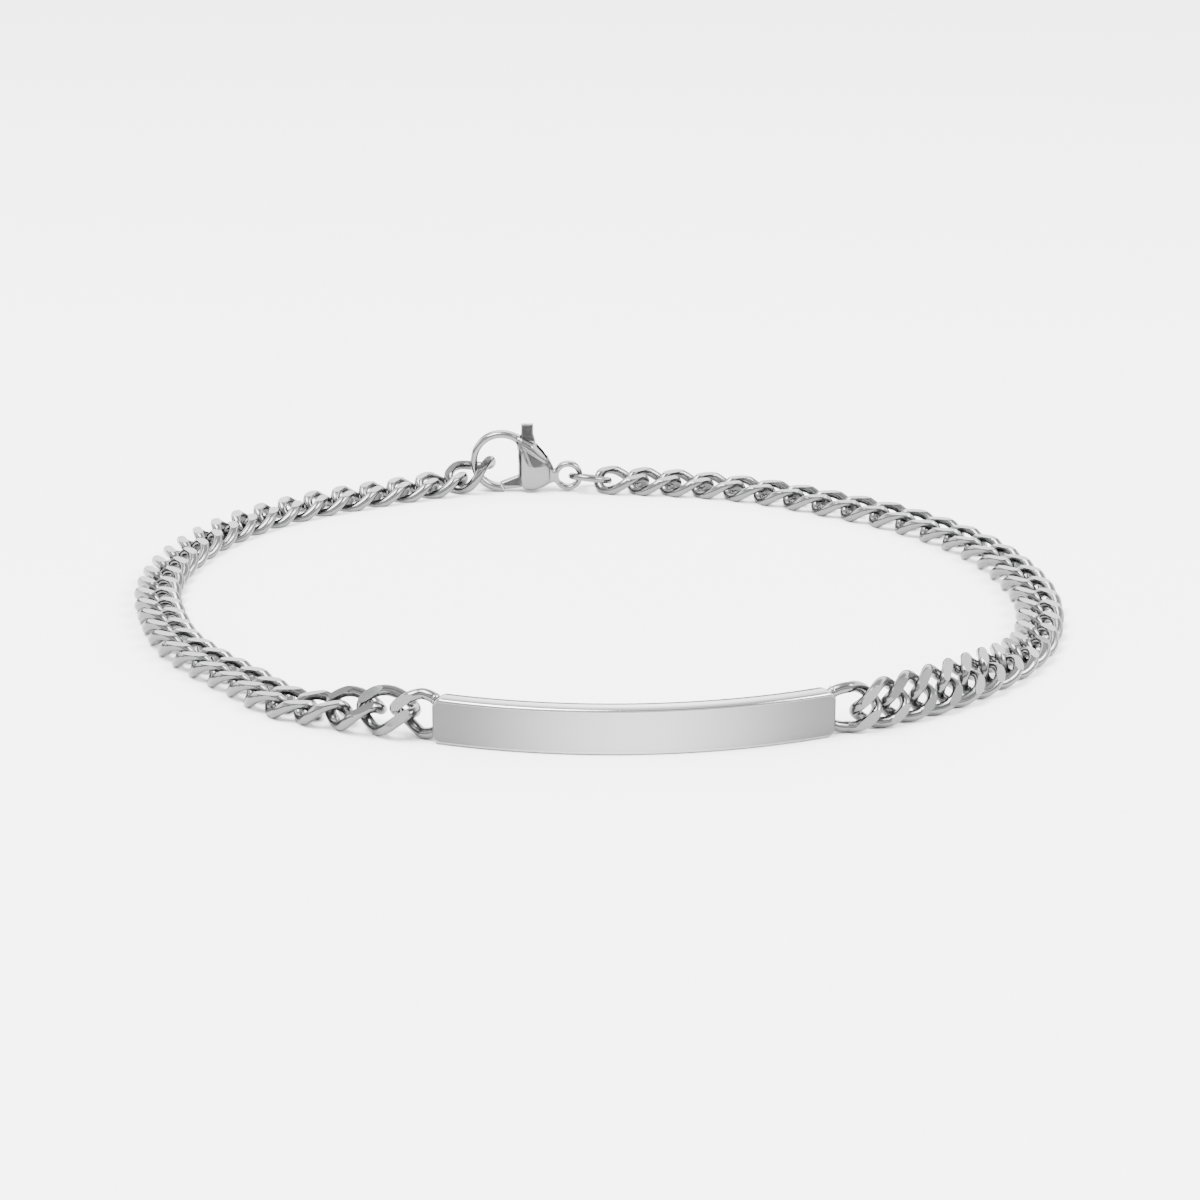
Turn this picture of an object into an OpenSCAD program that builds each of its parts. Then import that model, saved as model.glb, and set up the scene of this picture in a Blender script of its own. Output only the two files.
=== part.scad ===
// An id bracelet of polished steel, fastened and lying on a flat surface.
// A curved plate stands on its lower edge at the front, a diamond cut curb
// chain runs back from each of its ends, and a lobster clasp closes the loop.
// Millimetres. +Z is up, the plate is towards -Y and the clasp towards +Y.

/* [Plate] */
// Straight distance between the ends of the plate's outer face
plate_chord = 25.4; // [24:0.2:26.6]
// Height of the plate
plate_h = 3; // [2.6:0.1:3.6]
// Thickness of the plate
plate_t = 1.4; // [1.2:0.1:2]
// Radius that the plate's outer face is bent to
plate_bend_r = 31; // [27:0.5:36]
// Rounding of the plate's long edges
plate_edge_r = 0.2; // [0.1:0.05:0.4]
// Rounding of the plate's four corners, seen on its face
plate_corner_r = 0.6; // [0.3:0.1:1]

/* [Loop] */
// Width of the fastened loop, which the chains' routes and the places along it follow
loop_w = 60; // [56:0.5:66]
// Depth of the fastened loop, which the places across it follow
loop_d = 60; // [56:0.5:66]

/* [Chain] */
// Thickness of the links' wire
wire_d = 0.72; // [0.6:0.02:0.76]
// Length of one link over its wire
link_len = 4.38; // [4.3:0.02:4.5]
// Width of one link over its wire
link_w = 3.35; // [3.2:0.05:3.6]
// Turn of the wire from one end of a link to the other
link_twist = 106; // [96:2:112]
// Distance between the two cut faces of a link
link_cut_t = 1.36; // [1.2:0.02:1.6]
// Play left between two links that pull on each other
link_play = 0.23; // [0.16:0.01:0.3]
// Share that the left chain's links are pushed together all along
left_slack = 0.1; // [0.05:0.01:0.1]
// Share that the right chain's links are pushed together beside the plate
right_bunch = 0.15; // [0:0.01:0.2]
// Distance from the plate to the middle of the end link soldered to its left end
left_lug_reach = 0.9; // [0.8:0.05:1.2]
// Distance from the plate to the middle of the end link soldered to its right end
right_lug_reach = 1.15; // [1:0.05:1.4]
// Turn of the right end link out of the plate's bend
right_lug_splay = 14; // [0:1:20]

/* [Clasp] */
// Length of the clasp from the hook to the eye, which its outlines follow
clasp_len = 8.7; // [8.3:0.1:9.6]
// Thickness of the hook's bar where the chain hangs
hook_bar = 0.52; // [0.44:0.02:0.6]
// Width of the hook's bar, front to back
hook_w = 1; // [0.9:0.05:1.2]
// Width of the clasp's body, front to back
clasp_w = 2.2; // [2:0.1:2.6]
// Outer radius of the eye
eye_r = 1.13; // [1.1:0.01:1.2]
// Radius of the hole in the eye
eye_hole_r = 0.74; // [0.7:0.01:0.78]
// Width of the eye, front to back
eye_w = 0.8; // [0.6:0.05:0.9]
// Thickness of the lever, front to back
lever_w = 0.8; // [0.6:0.05:0.9]
// Radius of the pin that the lever turns on
pin_r = 0.3; // [0.2:0.02:0.34]
// Room between the lever and the parts beside it
lever_gap = 0.08; // [0.05:0.01:0.1]
// Height of the lever's thumb tab above the body
tab_h = 1; // [0.8:0.1:1.4]
// Width of the thumb tab
tab_w = 0.95; // [0.8:0.05:1]
// Depth of the scooped flat on each face of the body
scoop_deep = 0.18; // [0.1:0.02:0.24]

/* [Connector] */
// Thickness of the wire of the oval ring between the eye and the chain
ring_wire_d = 0.5; // [0.4:0.02:0.56]
// Length of that ring
ring_len = 3.45; // [3.35:0.05:3.6]
// Width of that ring
ring_w = 3.05; // [2.9:0.05:3.15]

/* [Hidden] */
$fn = 64;

// Middle of the plate's outer face in plan, as shares of the loop's width and
// depth, and how far its right end is turned back
PLATE_PLACE = [0.0433, -0.5042];
PLATE_TURN = 2.9;
// Left end of the hook and middle of the clasp's width in plan, as such shares
CLASP_PLACE = [-0.1625, 0.475];
// Points that the middle of each chain passes over, from the plate to the
// clasp, as such shares
LEFT = 0;
RIGHT = 1;
CHAIN_ROUTE = [
    [[-0.26, -0.418], [-0.332, -0.372], [-0.378, -0.31], [-0.428, -0.243], [-0.468, -0.174],
        [-0.495, -0.087], [-0.512, 0.005], [-0.508, 0.107], [-0.48, 0.21], [-0.433, 0.295],
        [-0.37, 0.362], [-0.303, 0.407], [-0.232, 0.447]],
    [[0.303, -0.418], [0.373, -0.362], [0.438, -0.28], [0.482, -0.197], [0.505, -0.11],
        [0.512, -0.018], [0.502, 0.07], [0.477, 0.162], [0.433, 0.245], [0.368, 0.322],
        [0.293, 0.38], [0.22, 0.428], [0.142, 0.458]]];
// Stretch of each chain, as shares of its length from the plate, over which
// its links turn from standing on edge like the plate to lying flat
SETTLE_FROM = [-0.027, 0.026];
SETTLE_TO = [0.101, 0.263];
// Roll of each chain's last link, and the share of the chain over which the
// links come round to it
END_ROLL = [12, -6];
END_ROLL_SHARE = [0.04, 0.158];
// Tilt of the last left link, which hangs from the hook, and its share of the chain
HOOK_TILT = 22;
HOOK_TILT_SHARE = 0.03;
// Ring between the eye and the chain, sagging to the back and to the right
RING_SAG = [-14, 7, 0];
// Clasp, from the hook's left end and the surface below it, as shares of its
// length: outlines of the body, the scoop on its face, the lever and its room.
// BODY_SIDE gives half the body's width in plan as a share of its whole width.
BODY_OUTLINE = [[0.414, 0.494], [0.454, 0.508], [0.567, 0.446], [0.69, 0.317], [0.738, 0.224],
    [0.741, 0.086], [0.655, 0.048], [0.592, 0.028], [0.529, 0.023], [0.477, 0.032],
    [0.439, 0.063], [0.418, 0.138]];
BODY_SIDE = [[0.36, 0.227], [0.46, 0.451], [0.55, 0.5], [0.64, 0.435], [0.745, 0.217]];
NECK_OUTLINE = [[0.7, 0.26], [0.74, 0.2], [0.8, 0.2], [0.8, 0.09], [0.74, 0.085], [0.7, 0.08]];
SCOOP = [[0.425, 0.463], [0.728, 0.25], [0.517, 0.23], [0.49, 0.31]];
GATE_TIP = [[0.264, 0.083], [0.3, 0.023]];
GATE_OUTLINE = [[0.452, 0.04], [0.52, 0.11], [0.61, 0.15], [0.625, 0.24]];
GATE_BACK = [[0.47, 0.28], [0.42, 0.144]];
ROOM_OUTLINE = [[0.34, -0.05], [0.47, -0.05], [0.5, 0.05], [0.6, 0.09], [0.66, 0.16],
    [0.68, 0.3], [0.68, 0.7]];
ROOM_BESIDE_TAB = [0.7, 0.43];
ROOM_BACK = [[0.43, 0.4], [0.34, 0.3]];
HOOK_SHARE = 0.276;
PIVOT = [0.546, 0.2];
HUB_SHARE = 0.086;
TAB_LEFT = 0.452;
TAB_FOOT = 0.49;
TAB_START = 0.507;
BODY_CORE = [0.5, 0.8];
BODY_MIDDLE = [0.56, 0.25];
// How far the hook's mouth reaches up and down from the gate's tip, as shares
// of the hook's radius, and the pin's length as a share of the body's width
MOUTH_REACH = [0.5, 0.83];
PIN_LEN = 0.95;
hook_r = HOOK_SHARE * clasp_len;
hook_hole_r = hook_r - hook_bar;
pivot = PIVOT * clasp_len;
hub_r = HUB_SHARE * clasp_len;
tab_left = TAB_LEFT * clasp_len;
tab_foot = TAB_FOOT * clasp_len;
tab_top = TAB_START * clasp_len + tab_h;
// Room between the pin and the lever
pin_gap = 0.03;

// How far in from both faces a corner's centre stands, as a share of its radius
CORNER_IN = 0.97;
LINK_SIDES = 14;
WIRE_SIDES = 6;
LUG_RINGS = 12;
LUG_CLOSE = 0.75;
ROUTE_STEPS = 8;
lug_reach = [left_lug_reach, right_lug_reach];
// How deep the end links' legs run into the plate
lug_root = 0.25;
// Height of the eye above the surface, and of its middle above the ring's
eye_lift = 0.12;
ring_drop = 0.24;
// Room between the ring and the eye, and between the ring and the last link
ring_play = 0.25;
// Height of the hook's hole above the hook's own middle
hook_hole_lift = 0.06;
// Half of the stretch along which a chain's direction is read
heading_reach = 0.4;
// How far a cutting shape runs past what it cuts
cut_over = 0.5;
wire_r = wire_d / 2;
link_a = (link_len - wire_d) / 2;
link_b = (link_w - wire_d) / 2;
taut_pitch = link_len - 2 * wire_d - link_play;
plate_angle = 2 * asin(plate_chord / 2 / plate_bend_r);
eye_at = [clasp_len - eye_r, eye_r + eye_lift];
plate_at = [PLATE_PLACE[0] * loop_w, PLATE_PLACE[1] * loop_d];
clasp_at = [CLASP_PLACE[0] * loop_w, CLASP_PLACE[1] * loop_d];
ring_a = (ring_len - ring_wire_d) / 2;
ring_b = (ring_w - ring_wire_d) / 2;
ring_at = [clasp_at[0] + eye_at[0] + eye_hole_r - ring_play - ring_wire_d / 2 + ring_a,
    clasp_at[1], eye_at[1] - ring_drop];

// Vectors and smooth steps

function unit(v) = v / norm(v);
function reversed(list) = [for (i = [len(list) - 1:-1:0]) list[i]];
function ease(t) = let (k = min(1, max(0, t))) k * k * (3 - 2 * k);
function clamp(v, limit) = min(limit, max(-limit, v));
function turned(v, angle) =
    [v[0] * cos(angle) - v[1] * sin(angle), v[0] * sin(angle) + v[1] * cos(angle)];

// Curb link: a flat oval of wire, twisted along its length and then ground flat
// on both faces. Its length is along X and its faces look along Z.

function link_middle(u, twist) =
    [link_a * cos(u), link_b * sin(u) * cos(twist), link_b * sin(u) * sin(twist)];
function link_turn(u) = -link_twist / 2 * cos(u);
function lug_turn(u) = min(0, link_turn(u));
function lug_middle(u, legs) =
    let (m = link_middle(u, lug_turn(u))) [m[0] * (m[0] < 0 ? legs / link_a : 1), m[1], m[2]];
function wire_ring(middle, along, face, r = wire_r) =
    let (lift = unit(face - (face * along) * along), side = cross(lift, along))
    [for (k = [0:WIRE_SIDES - 1]) let (f = 360 * k / WIRE_SIDES)
        middle + r * (cos(f) * side + sin(f) * lift)];
function ground(p) = [p[0], p[1], clamp(p[2], link_cut_t / 2)];
function link_ring(middle, twist, along) =
    [for (p = wire_ring(middle, unit(along), [0, -sin(twist), cos(twist)])) ground(p)];
function link_shell() =
    [for (k = [0:LINK_SIDES - 1]) let (u = 360 * k / LINK_SIDES)
        each link_ring(link_middle(u, link_turn(u)), link_turn(u),
            link_middle(u + 1, link_turn(u + 1)) - link_middle(u - 1, link_turn(u - 1)))];

// Faces between rings of wire, either round a closed link or along an open one

function tube_faces(rings, closed, first = 0) =
    [for (i = [0:(closed ? rings : rings - 1) - 1], k = [0:WIRE_SIDES - 1])
        let (a = first + i * WIRE_SIDES, b = first + (i + 1) % rings * WIRE_SIDES,
            n = (k + 1) % WIRE_SIDES)
        each [[a + k, b + n, a + n], [a + k, b + k, b + n]]];
function tube_caps(rings) =
    [[for (k = [0:WIRE_SIDES - 1]) k],
        [for (k = [WIRE_SIDES - 1:-1:0]) (rings - 1) * WIRE_SIDES + k]];

// Route of a chain in plan, as a smooth curve through its points

function plate_centre() =
    plate_at + turned([0, plate_bend_r], PLATE_TURN);
function plate_end_turn(side) = (side == LEFT ? -1 : 1) * plate_angle / 2 + PLATE_TURN;
function plate_end(side) =
    plate_centre() + turned([0, plate_t / 2 - plate_bend_r], plate_end_turn(side));
function lug_heading(side) =
    plate_end_turn(side) + (side == LEFT ? 180 : -right_lug_splay);
function lug_at(side) = plate_end(side) + turned([lug_reach[side], 0], lug_heading(side));
function last_link_at(side) =
    side == LEFT ? clasp_at
    : [ring_at[0] + ring_a - ring_wire_d / 2 - wire_r - ring_play + link_a, clasp_at[1]];
function route_points(side) =
    concat([plate_end(side), lug_at(side)],
        [for (p = CHAIN_ROUTE[side]) [p[0] * loop_w, p[1] * loop_d]],
        [last_link_at(side), last_link_at(side) - [(side == LEFT ? -1 : 1) * taut_pitch, 0]]);
function curve_point(p, i, t) =
    0.5 * (2 * p[i] + (p[i + 1] - p[i - 1]) * t
        + (2 * p[i - 1] - 5 * p[i] + 4 * p[i + 1] - p[i + 2]) * t * t
        + (3 * p[i] - 3 * p[i + 1] + p[i + 2] - p[i - 1]) * t * t * t);
function route_curve(side) =
    let (p = route_points(side), last = len(p) - 3)
    concat([for (i = [1:last], k = [0:ROUTE_STEPS - 1]) curve_point(p, i, k / ROUTE_STEPS)],
        [p[last + 1]]);
function run_lengths(curve, i = 1, so_far = [0]) =
    i == len(curve) ? so_far
    : run_lengths(curve, i + 1, concat(so_far, so_far[i - 1] + norm(curve[i] - curve[i - 1])));

route_curves = [route_curve(LEFT), route_curve(RIGHT)];
route_runs = [run_lengths(route_curves[LEFT]), run_lengths(route_curves[RIGHT])];
route_len = [for (runs = route_runs) runs[len(runs) - 1]];
// The links' number keeps the widest spacing within a taut pitch
links = [ceil(route_len[LEFT] / (taut_pitch * (1 - left_slack))),
    ceil(route_len[RIGHT] * (1 + right_bunch / 4) / taut_pitch)];
shell = link_shell();

function plan_at(side, s) =
    [for (axis = [0, 1]) lookup(s, [for (i = [0:len(route_runs[side]) - 1])
        [route_runs[side][i], route_curves[side][i][axis]]])];
function plan_heading(side, s) =
    let (d = plan_at(side, s + heading_reach) - plan_at(side, s - heading_reach))
    atan2(d[1], d[0]);

// Where each link lies, how it is rolled about its length and how high it is

function link_run(side, i) =
    let (t = i / links[side], bunch = side == RIGHT ? right_bunch : 0)
    route_len[side] * (t - bunch * t * pow(1 - t, 3));
function settle_roll(side, s) =
    lookup(s / route_len[side],
        [[SETTLE_FROM[side], side == LEFT ? -90 : 90], [SETTLE_TO[side], 0]]);
function end_roll(side, s) =
    END_ROLL[side] * ease((s / route_len[side] - 1) / END_ROLL_SHARE[side] + 1);
function roll_at(side, s) = settle_roll(side, s) + end_roll(side, s);
function climb(side, s) =
    side == LEFT ? max(0, (s / route_len[side] - 1) / HOOK_TILT_SHARE + 1) : 0;
function rest_height(roll, slope = 0) =
    -min([for (p = shell)
        p[0] * sin(slope) + (p[1] * sin(roll) + p[2] * cos(roll)) * cos(slope)]);
function slope_at(side, s) =
    let (reach = taut_pitch / 2,
        rise = rest_height(roll_at(side, s + reach)) - rest_height(roll_at(side, s - reach)))
    atan(rise / (2 * reach)) + HOOK_TILT * climb(side, s);
function height_at(side, s) = rest_height(roll_at(side, s), slope_at(side, s));
function frame(origin, heading, slope, roll) =
    let (along = [cos(heading) * cos(slope), sin(heading) * cos(slope), sin(slope)],
        across = [-sin(heading), cos(heading), 0], lift = cross(along, across))
    [origin, along, across * cos(roll) + lift * sin(roll), lift * cos(roll) - across * sin(roll)];
function placed(points, f) = [for (p = points) f[0] + p[0] * f[1] + p[1] * f[2] + p[2] * f[3]];
function link_frame(side, s) =
    frame(concat(plan_at(side, s), height_at(side, s)), plan_heading(side, s), slope_at(side, s),
        roll_at(side, s));

// One side's chain, as loose links that hang in each other

module chain(side) {
    points = [for (i = [1:links[side]]) each placed(shell, link_frame(side, link_run(side, i)))];
    faces = [for (i = [0:links[side] - 1])
        each tube_faces(LINK_SIDES, true, i * LINK_SIDES * WIRE_SIDES)];
    color("silver") polyhedron(points, faces);
}

module chain_left() chain(LEFT);
module chain_right() chain(RIGHT);

// Half link soldered to one end of the plate, its legs reaching into the metal

module lug(side) {
    legs = (lug_reach[side] + lug_root) / LUG_CLOSE;
    reach = acos(-LUG_CLOSE);
    rings = [for (k = [0:LUG_RINGS - 1]) let (u = reach * (2 * k / (LUG_RINGS - 1) - 1))
        link_ring(lug_middle(u, legs), lug_turn(u), lug_middle(u + 1, legs) - lug_middle(u - 1, legs))];
    f = frame(concat(lug_at(side), link_w / 2), lug_heading(side), 0, side == LEFT ? -90 : 90);
    polyhedron(placed([for (r = rings) each r], f),
        concat(tube_faces(LUG_RINGS, false), tube_caps(LUG_RINGS)));
}

// Plate, bent about an upright axis, with rounded edges and corners

module plate_section() {
    middle = [plate_bend_r - plate_t / 2, plate_h / 2];
    reach = [plate_t / 2 - plate_edge_r, plate_h / 2 - plate_edge_r];
    polygon([for (corner = [0:3], step = [0:4])
        let (a = 90 * corner + 22.5 * step, side = [corner % 3 == 0 ? 1 : -1, corner < 2 ? 1 : -1])
        [middle[0] + side[0] * reach[0] + plate_edge_r * cos(a),
            middle[1] + side[1] * reach[1] + plate_edge_r * sin(a)]]);
}

module corner_waste() {
    r = plate_corner_r;
    rotate([90, 0, 0]) linear_extrude(plate_t + 2 * cut_over, center = true) difference() {
        translate([-r, -cut_over]) square(r + cut_over);
        translate(CORNER_IN * [-r, r]) circle(r);
    }
}

module bent_plate() {
    difference() {
        rotate([0, 0, -90 - plate_angle / 2]) rotate_extrude(angle = plate_angle) plate_section();
        for (end = [0, 1], top = [0, 1])
            mirror([end, 0, 0]) rotate([0, 0, plate_angle / 2])
                translate([0, plate_t / 2 - plate_bend_r, top * plate_h]) mirror([0, 0, top])
                    corner_waste();
    }
}

module id_plate() {
    color("silver") {
        translate(concat(plate_centre(), 0)) rotate([0, 0, PLATE_TURN]) bent_plate();
        lug(LEFT);
        lug(RIGHT);
    }
}

// Oval ring that lies level between the clasp's eye and the chain

module connector_ring() {
    sides = 24;
    rings = [for (k = [0:sides - 1]) let (u = 360 * k / sides)
        each wire_ring([ring_a * cos(u), ring_b * sin(u), 0],
            unit([-ring_a * sin(u), ring_b * cos(u), 0]), [0, 0, 1], ring_wire_d / 2)];
    color("silver")
        translate(ring_at) rotate(RING_SAG) polyhedron(rings, tube_faces(sides, true));
}

// Clasp, drawn upright from the hook's left end and the surface below it. An
// outline lies in the plane of the clasp and a profile is seen from above.

module upright(width) {
    rotate([90, 0, 0]) translate([0, 0, -width / 2]) linear_extrude(width) children();
}

module at_clasp() {
    translate(concat(clasp_at, 0)) children();
}

module hook_outline() {
    tip = GATE_TIP * clasp_len;
    down = unit(tip[1] - tip[0]);
    corner = tip[0] + lever_gap * [down[1], -down[0]];
    difference() {
        translate([hook_r, hook_r]) circle(hook_r);
        translate([hook_r, hook_r + hook_hole_lift]) circle(hook_hole_r);
        polygon([corner - MOUTH_REACH[0] * hook_r * down, corner + MOUTH_REACH[1] * hook_r * down,
            [3 * hook_r, -hook_r], [3 * hook_r, hook_r]]);
    }
}

module body_outline() {
    polygon(clasp_len * BODY_OUTLINE);
}

module body_profile() {
    polygon([for (side = [1, -1], p = side > 0 ? BODY_SIDE : reversed(BODY_SIDE))
        [p[0] * clasp_len, side * p[1] * clasp_w]]);
}

module lever_room() {
    translate(pivot) circle(hub_r + lever_gap);
    beside_tab = [for (share = ROOM_BESIDE_TAB) [tab_left - lever_gap, share * clasp_len]];
    polygon(concat(clasp_len * ROOM_OUTLINE, beside_tab, clasp_len * ROOM_BACK));
}

module lever_outline() {
    translate(pivot) circle(hub_r);
    polygon(concat(clasp_len * GATE_TIP, clasp_len * GATE_OUTLINE,
        [[tab_left + tab_w, tab_foot], [tab_left + tab_w, tab_top], [tab_left, tab_top],
        [tab_left, tab_foot]], clasp_len * GATE_BACK));
}

module clasp_solid() {
    middle = clasp_len * BODY_MIDDLE;
    upright(hook_w) hook_outline();
    intersection() {
        hull() {
            upright(BODY_CORE[0] * clasp_w) body_outline();
            upright(clasp_w) translate(middle) scale(BODY_CORE[1]) translate(-middle) body_outline();
        }
        linear_extrude(clasp_len) body_profile();
    }
    upright(eye_w) {
        polygon(clasp_len * NECK_OUTLINE);
        translate(eye_at) circle(eye_r);
    }
}

module clasp_body() {
    color("silver") at_clasp() difference() {
        clasp_solid();
        upright(lever_w + 2 * lever_gap) lever_room();
        for (face = [-1, 1])
            translate([0, face * clasp_w / 2, 0]) upright(2 * scoop_deep) polygon(clasp_len * SCOOP);
        translate([eye_at[0], 0, eye_at[1]]) rotate([90, 0, 0])
            cylinder(r = eye_hole_r, h = 2 * clasp_w, center = true);
        translate([pivot[0], 0, pivot[1]]) rotate([90, 0, 0])
            cylinder(r = pin_r, h = 2 * clasp_w, center = true);
    }
}

module clasp_pin() {
    color("silver") at_clasp() translate([pivot[0], 0, pivot[1]]) rotate([90, 0, 0])
        cylinder(r = pin_r, h = PIN_LEN * clasp_w, center = true);
}

module clasp_lever() {
    color("silver") at_clasp() difference() {
        upright(lever_w) lever_outline();
        translate([pivot[0], 0, pivot[1]]) rotate([90, 0, 0])
            cylinder(r = pin_r + pin_gap, h = 2 * clasp_w, center = true);
    }
}

id_plate();
chain_left();
chain_right();
connector_ring();
clasp_body();
clasp_pin();
clasp_lever();
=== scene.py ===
import math

import bmesh
import bpy
import numpy as np
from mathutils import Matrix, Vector


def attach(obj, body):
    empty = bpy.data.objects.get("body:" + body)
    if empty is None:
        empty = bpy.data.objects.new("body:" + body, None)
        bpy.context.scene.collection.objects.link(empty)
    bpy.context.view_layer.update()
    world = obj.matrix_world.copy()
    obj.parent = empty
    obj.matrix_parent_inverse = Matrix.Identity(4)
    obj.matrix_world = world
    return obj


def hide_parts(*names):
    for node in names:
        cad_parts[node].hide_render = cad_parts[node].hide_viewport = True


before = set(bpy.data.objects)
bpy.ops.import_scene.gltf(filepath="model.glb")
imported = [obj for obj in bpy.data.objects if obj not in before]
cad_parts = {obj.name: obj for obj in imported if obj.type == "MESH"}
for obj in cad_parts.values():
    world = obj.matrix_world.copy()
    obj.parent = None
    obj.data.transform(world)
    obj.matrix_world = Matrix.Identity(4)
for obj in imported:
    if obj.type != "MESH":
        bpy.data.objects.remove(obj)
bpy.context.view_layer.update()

# An id bracelet of polished steel, fastened and lying on a pale floor. The plate is
# towards -Y and the clasp towards +Y. Sizes are in millimetres and angles in degrees,
# as in the part's source, and make_piece turns them into metres.
MM = 0.001
LEFT, RIGHT = 0, 1
# Points of a piece that are closer than this are one point
SAME_PLACE = 0.001

# Width and depth of the fastened loop
LOOP = np.array([60, 60])

# Plate: the chord and the bend of its outer face, its height and thickness, the
# rounding of its edges and corners, the crown of its top edge, its place and its turn
PLATE_CHORD = 25.4
PLATE_R = 31
PLATE_H = 3
PLATE_T = 1.4
PLATE_EDGE = 0.2
PLATE_CORNER = 0.6
PLATE_CROWN = 0.045
PLATE_PLACE = LOOP * [0.0433, -0.5042]
PLATE_TURN = 2.9
PLATE_ANGLE = 2 * math.degrees(math.asin(PLATE_CHORD / 2 / PLATE_R))

# Links: their wire, their length and width over it, the turn of the wire from end to
# end, the distance between the two cut faces, and the play between taut links
WIRE_D = 0.72
LINK_LEN = 4.38
LINK_W = 3.35
LINK_TWIST = 106
LINK_CUT = 1.36
LINK_PLAY = 0.23
WIRE_R = WIRE_D / 2
LINK_A = (LINK_LEN - WIRE_D) / 2
LINK_B = (LINK_W - WIRE_D) / 2
PITCH = LINK_LEN - 2 * WIRE_D - LINK_PLAY

# Half links on the plate's ends: how far their middles stand off, how deep their legs
# run in, the share of the half oval that the legs reach, and the right one's turn out
# of the plate's bend
LUG_REACH = [0.9, 1.15]
LUG_ROOT = 0.25
LUG_CLOSE = 0.75
RIGHT_SPLAY = 14

# Solder beads on the half links: their place as a share of the way to the legs' ends,
# their half sizes, and the height and the waves of their uneven surface
BEAD_SHARE = 0.78
BEAD_HALF = np.array([0.3, 0.4, 0.4])
BEAD_LUMP = 0.08
BEAD_WAVES = [3, 2, 2]

# Clasp: its length, which its outlines follow, its width and its place, its hook, the
# eye, and the lever with its thumb tab
CLASP_LEN = 8.7
CLASP_W = 2.2
CLASP_PLACE = LOOP * [-0.1625, 0.475]
HOOK_R = 0.276 * CLASP_LEN
HOOK_BAR = 0.52
HOOK_W = 1.0
HOOK_HOLE_LIFT = 0.06
EYE_R = 1.13
EYE_HOLE_R = 0.74
EYE_W = 0.8
EYE_LIFT = 0.12
EYE_AT = np.array([CLASP_LEN - EYE_R, EYE_R + EYE_LIFT])
LEVER_W = 0.8
LEVER_GAP = 0.08
PIVOT = CLASP_LEN * np.array([0.546, 0.2])
HUB_R = 0.086 * CLASP_LEN
TAB_W = 0.95
TAB_H = 1.0
TAB_LEFT = 0.452 * CLASP_LEN
TAB_RIGHT = TAB_LEFT + TAB_W
TAB_FOOT = 0.49 * CLASP_LEN
TAB_TOP = 0.507 * CLASP_LEN + TAB_H

# Connector ring: its wire, its length and width, its play, how far its middle is below
# the eye's, its tilt to the back and its sag to the right
RING_WIRE_D = 0.5
RING_LEN = 3.45
RING_W = 3.05
RING_PLAY = 0.25
RING_DROP = 0.24
RING_TILT = -14
RING_SAG = 7
RING_A = (RING_LEN - RING_WIRE_D) / 2
RING_B = (RING_W - RING_WIRE_D) / 2
RING_AT = np.array([CLASP_PLACE[0] + EYE_AT[0] + EYE_HOLE_R - RING_PLAY - RING_WIRE_D / 2 + RING_A,
                    CLASP_PLACE[1], EYE_AT[1] - RING_DROP])

# Points that each chain's middle passes over, from the plate to the clasp, as shares of
# the loop's width and depth, and the share that its links are pushed together
CHAIN_ROUTE = [
    [[-0.26, -0.418], [-0.332, -0.372], [-0.378, -0.31], [-0.428, -0.243], [-0.468, -0.174],
        [-0.495, -0.087], [-0.512, 0.005], [-0.508, 0.107], [-0.48, 0.21], [-0.433, 0.295],
        [-0.37, 0.362], [-0.303, 0.407], [-0.232, 0.447]],
    [[0.303, -0.418], [0.373, -0.362], [0.438, -0.28], [0.482, -0.197], [0.505, -0.11],
        [0.512, -0.018], [0.502, 0.07], [0.477, 0.162], [0.433, 0.245], [0.368, 0.322],
        [0.293, 0.38], [0.22, 0.428], [0.142, 0.458]]]
LEFT_SLACK = 0.1
RIGHT_BUNCH = 0.15

# Roll of the links that stand on edge beside the plate, and the stretch over which they
# turn to lie flat, as shares of the chain's length
STANDING = [-90, 90]
SETTLE_FROM = [-0.027, 0.026]
SETTLE_TO = [0.101, 0.263]
# Roll of each chain's last link, the tilt of the one that hangs from the hook, and the
# shares of the chain over which the links come to them
END_ROLL = [12, -6]
END_ROLL_SHARE = [0.04, 0.158]
HOOK_TILT = 22
HOOK_TILT_SHARE = 0.03


# Small helpers

def sin(angle):
    return math.sin(math.radians(angle))


def cos(angle):
    return math.cos(math.radians(angle))


def unit(v):
    return v / np.linalg.norm(v)


def ease(t):
    """A smooth step from 0 to 1."""
    t = min(1, max(0, t))
    return t * t * (3 - 2 * t)


def turned(v, angle):
    return np.array([v[0] * cos(angle) - v[1] * sin(angle), v[0] * sin(angle) + v[1] * cos(angle)])


def new_object(name, data):
    obj = bpy.data.objects.new(name, data)
    bpy.context.scene.collection.objects.link(obj)
    return obj


def weld(mesh):
    """Joins points that lie in the same place, and drops the faces that this leaves flat."""
    bm = bmesh.new()
    bm.from_mesh(mesh)
    bmesh.ops.remove_doubles(bm, verts=bm.verts, dist=SAME_PLACE * MM)
    bm.to_mesh(mesh)
    bm.free()


def make_piece(name, points, faces, material, node, body="bracelet", smooth_angle=24):
    """A piece of the bracelet, from points in millimetres. It replaces a node on its body."""
    mesh = bpy.data.meshes.new(name)
    mesh.from_pydata((np.asarray(points) * MM).tolist(), [], faces)
    weld(mesh)
    mesh.shade_smooth()
    mesh.set_sharp_from_angle(angle=math.radians(smooth_angle))
    mesh.materials.append(material)
    obj = new_object(name, mesh)
    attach(obj, body)
    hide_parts(node)
    return obj


def feed(tree, socket, value):
    """Links a node's output to a socket, or sets the socket's own value."""
    if isinstance(value, bpy.types.NodeSocket):
        tree.links.new(value, socket)
    else:
        socket.default_value = value


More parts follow.
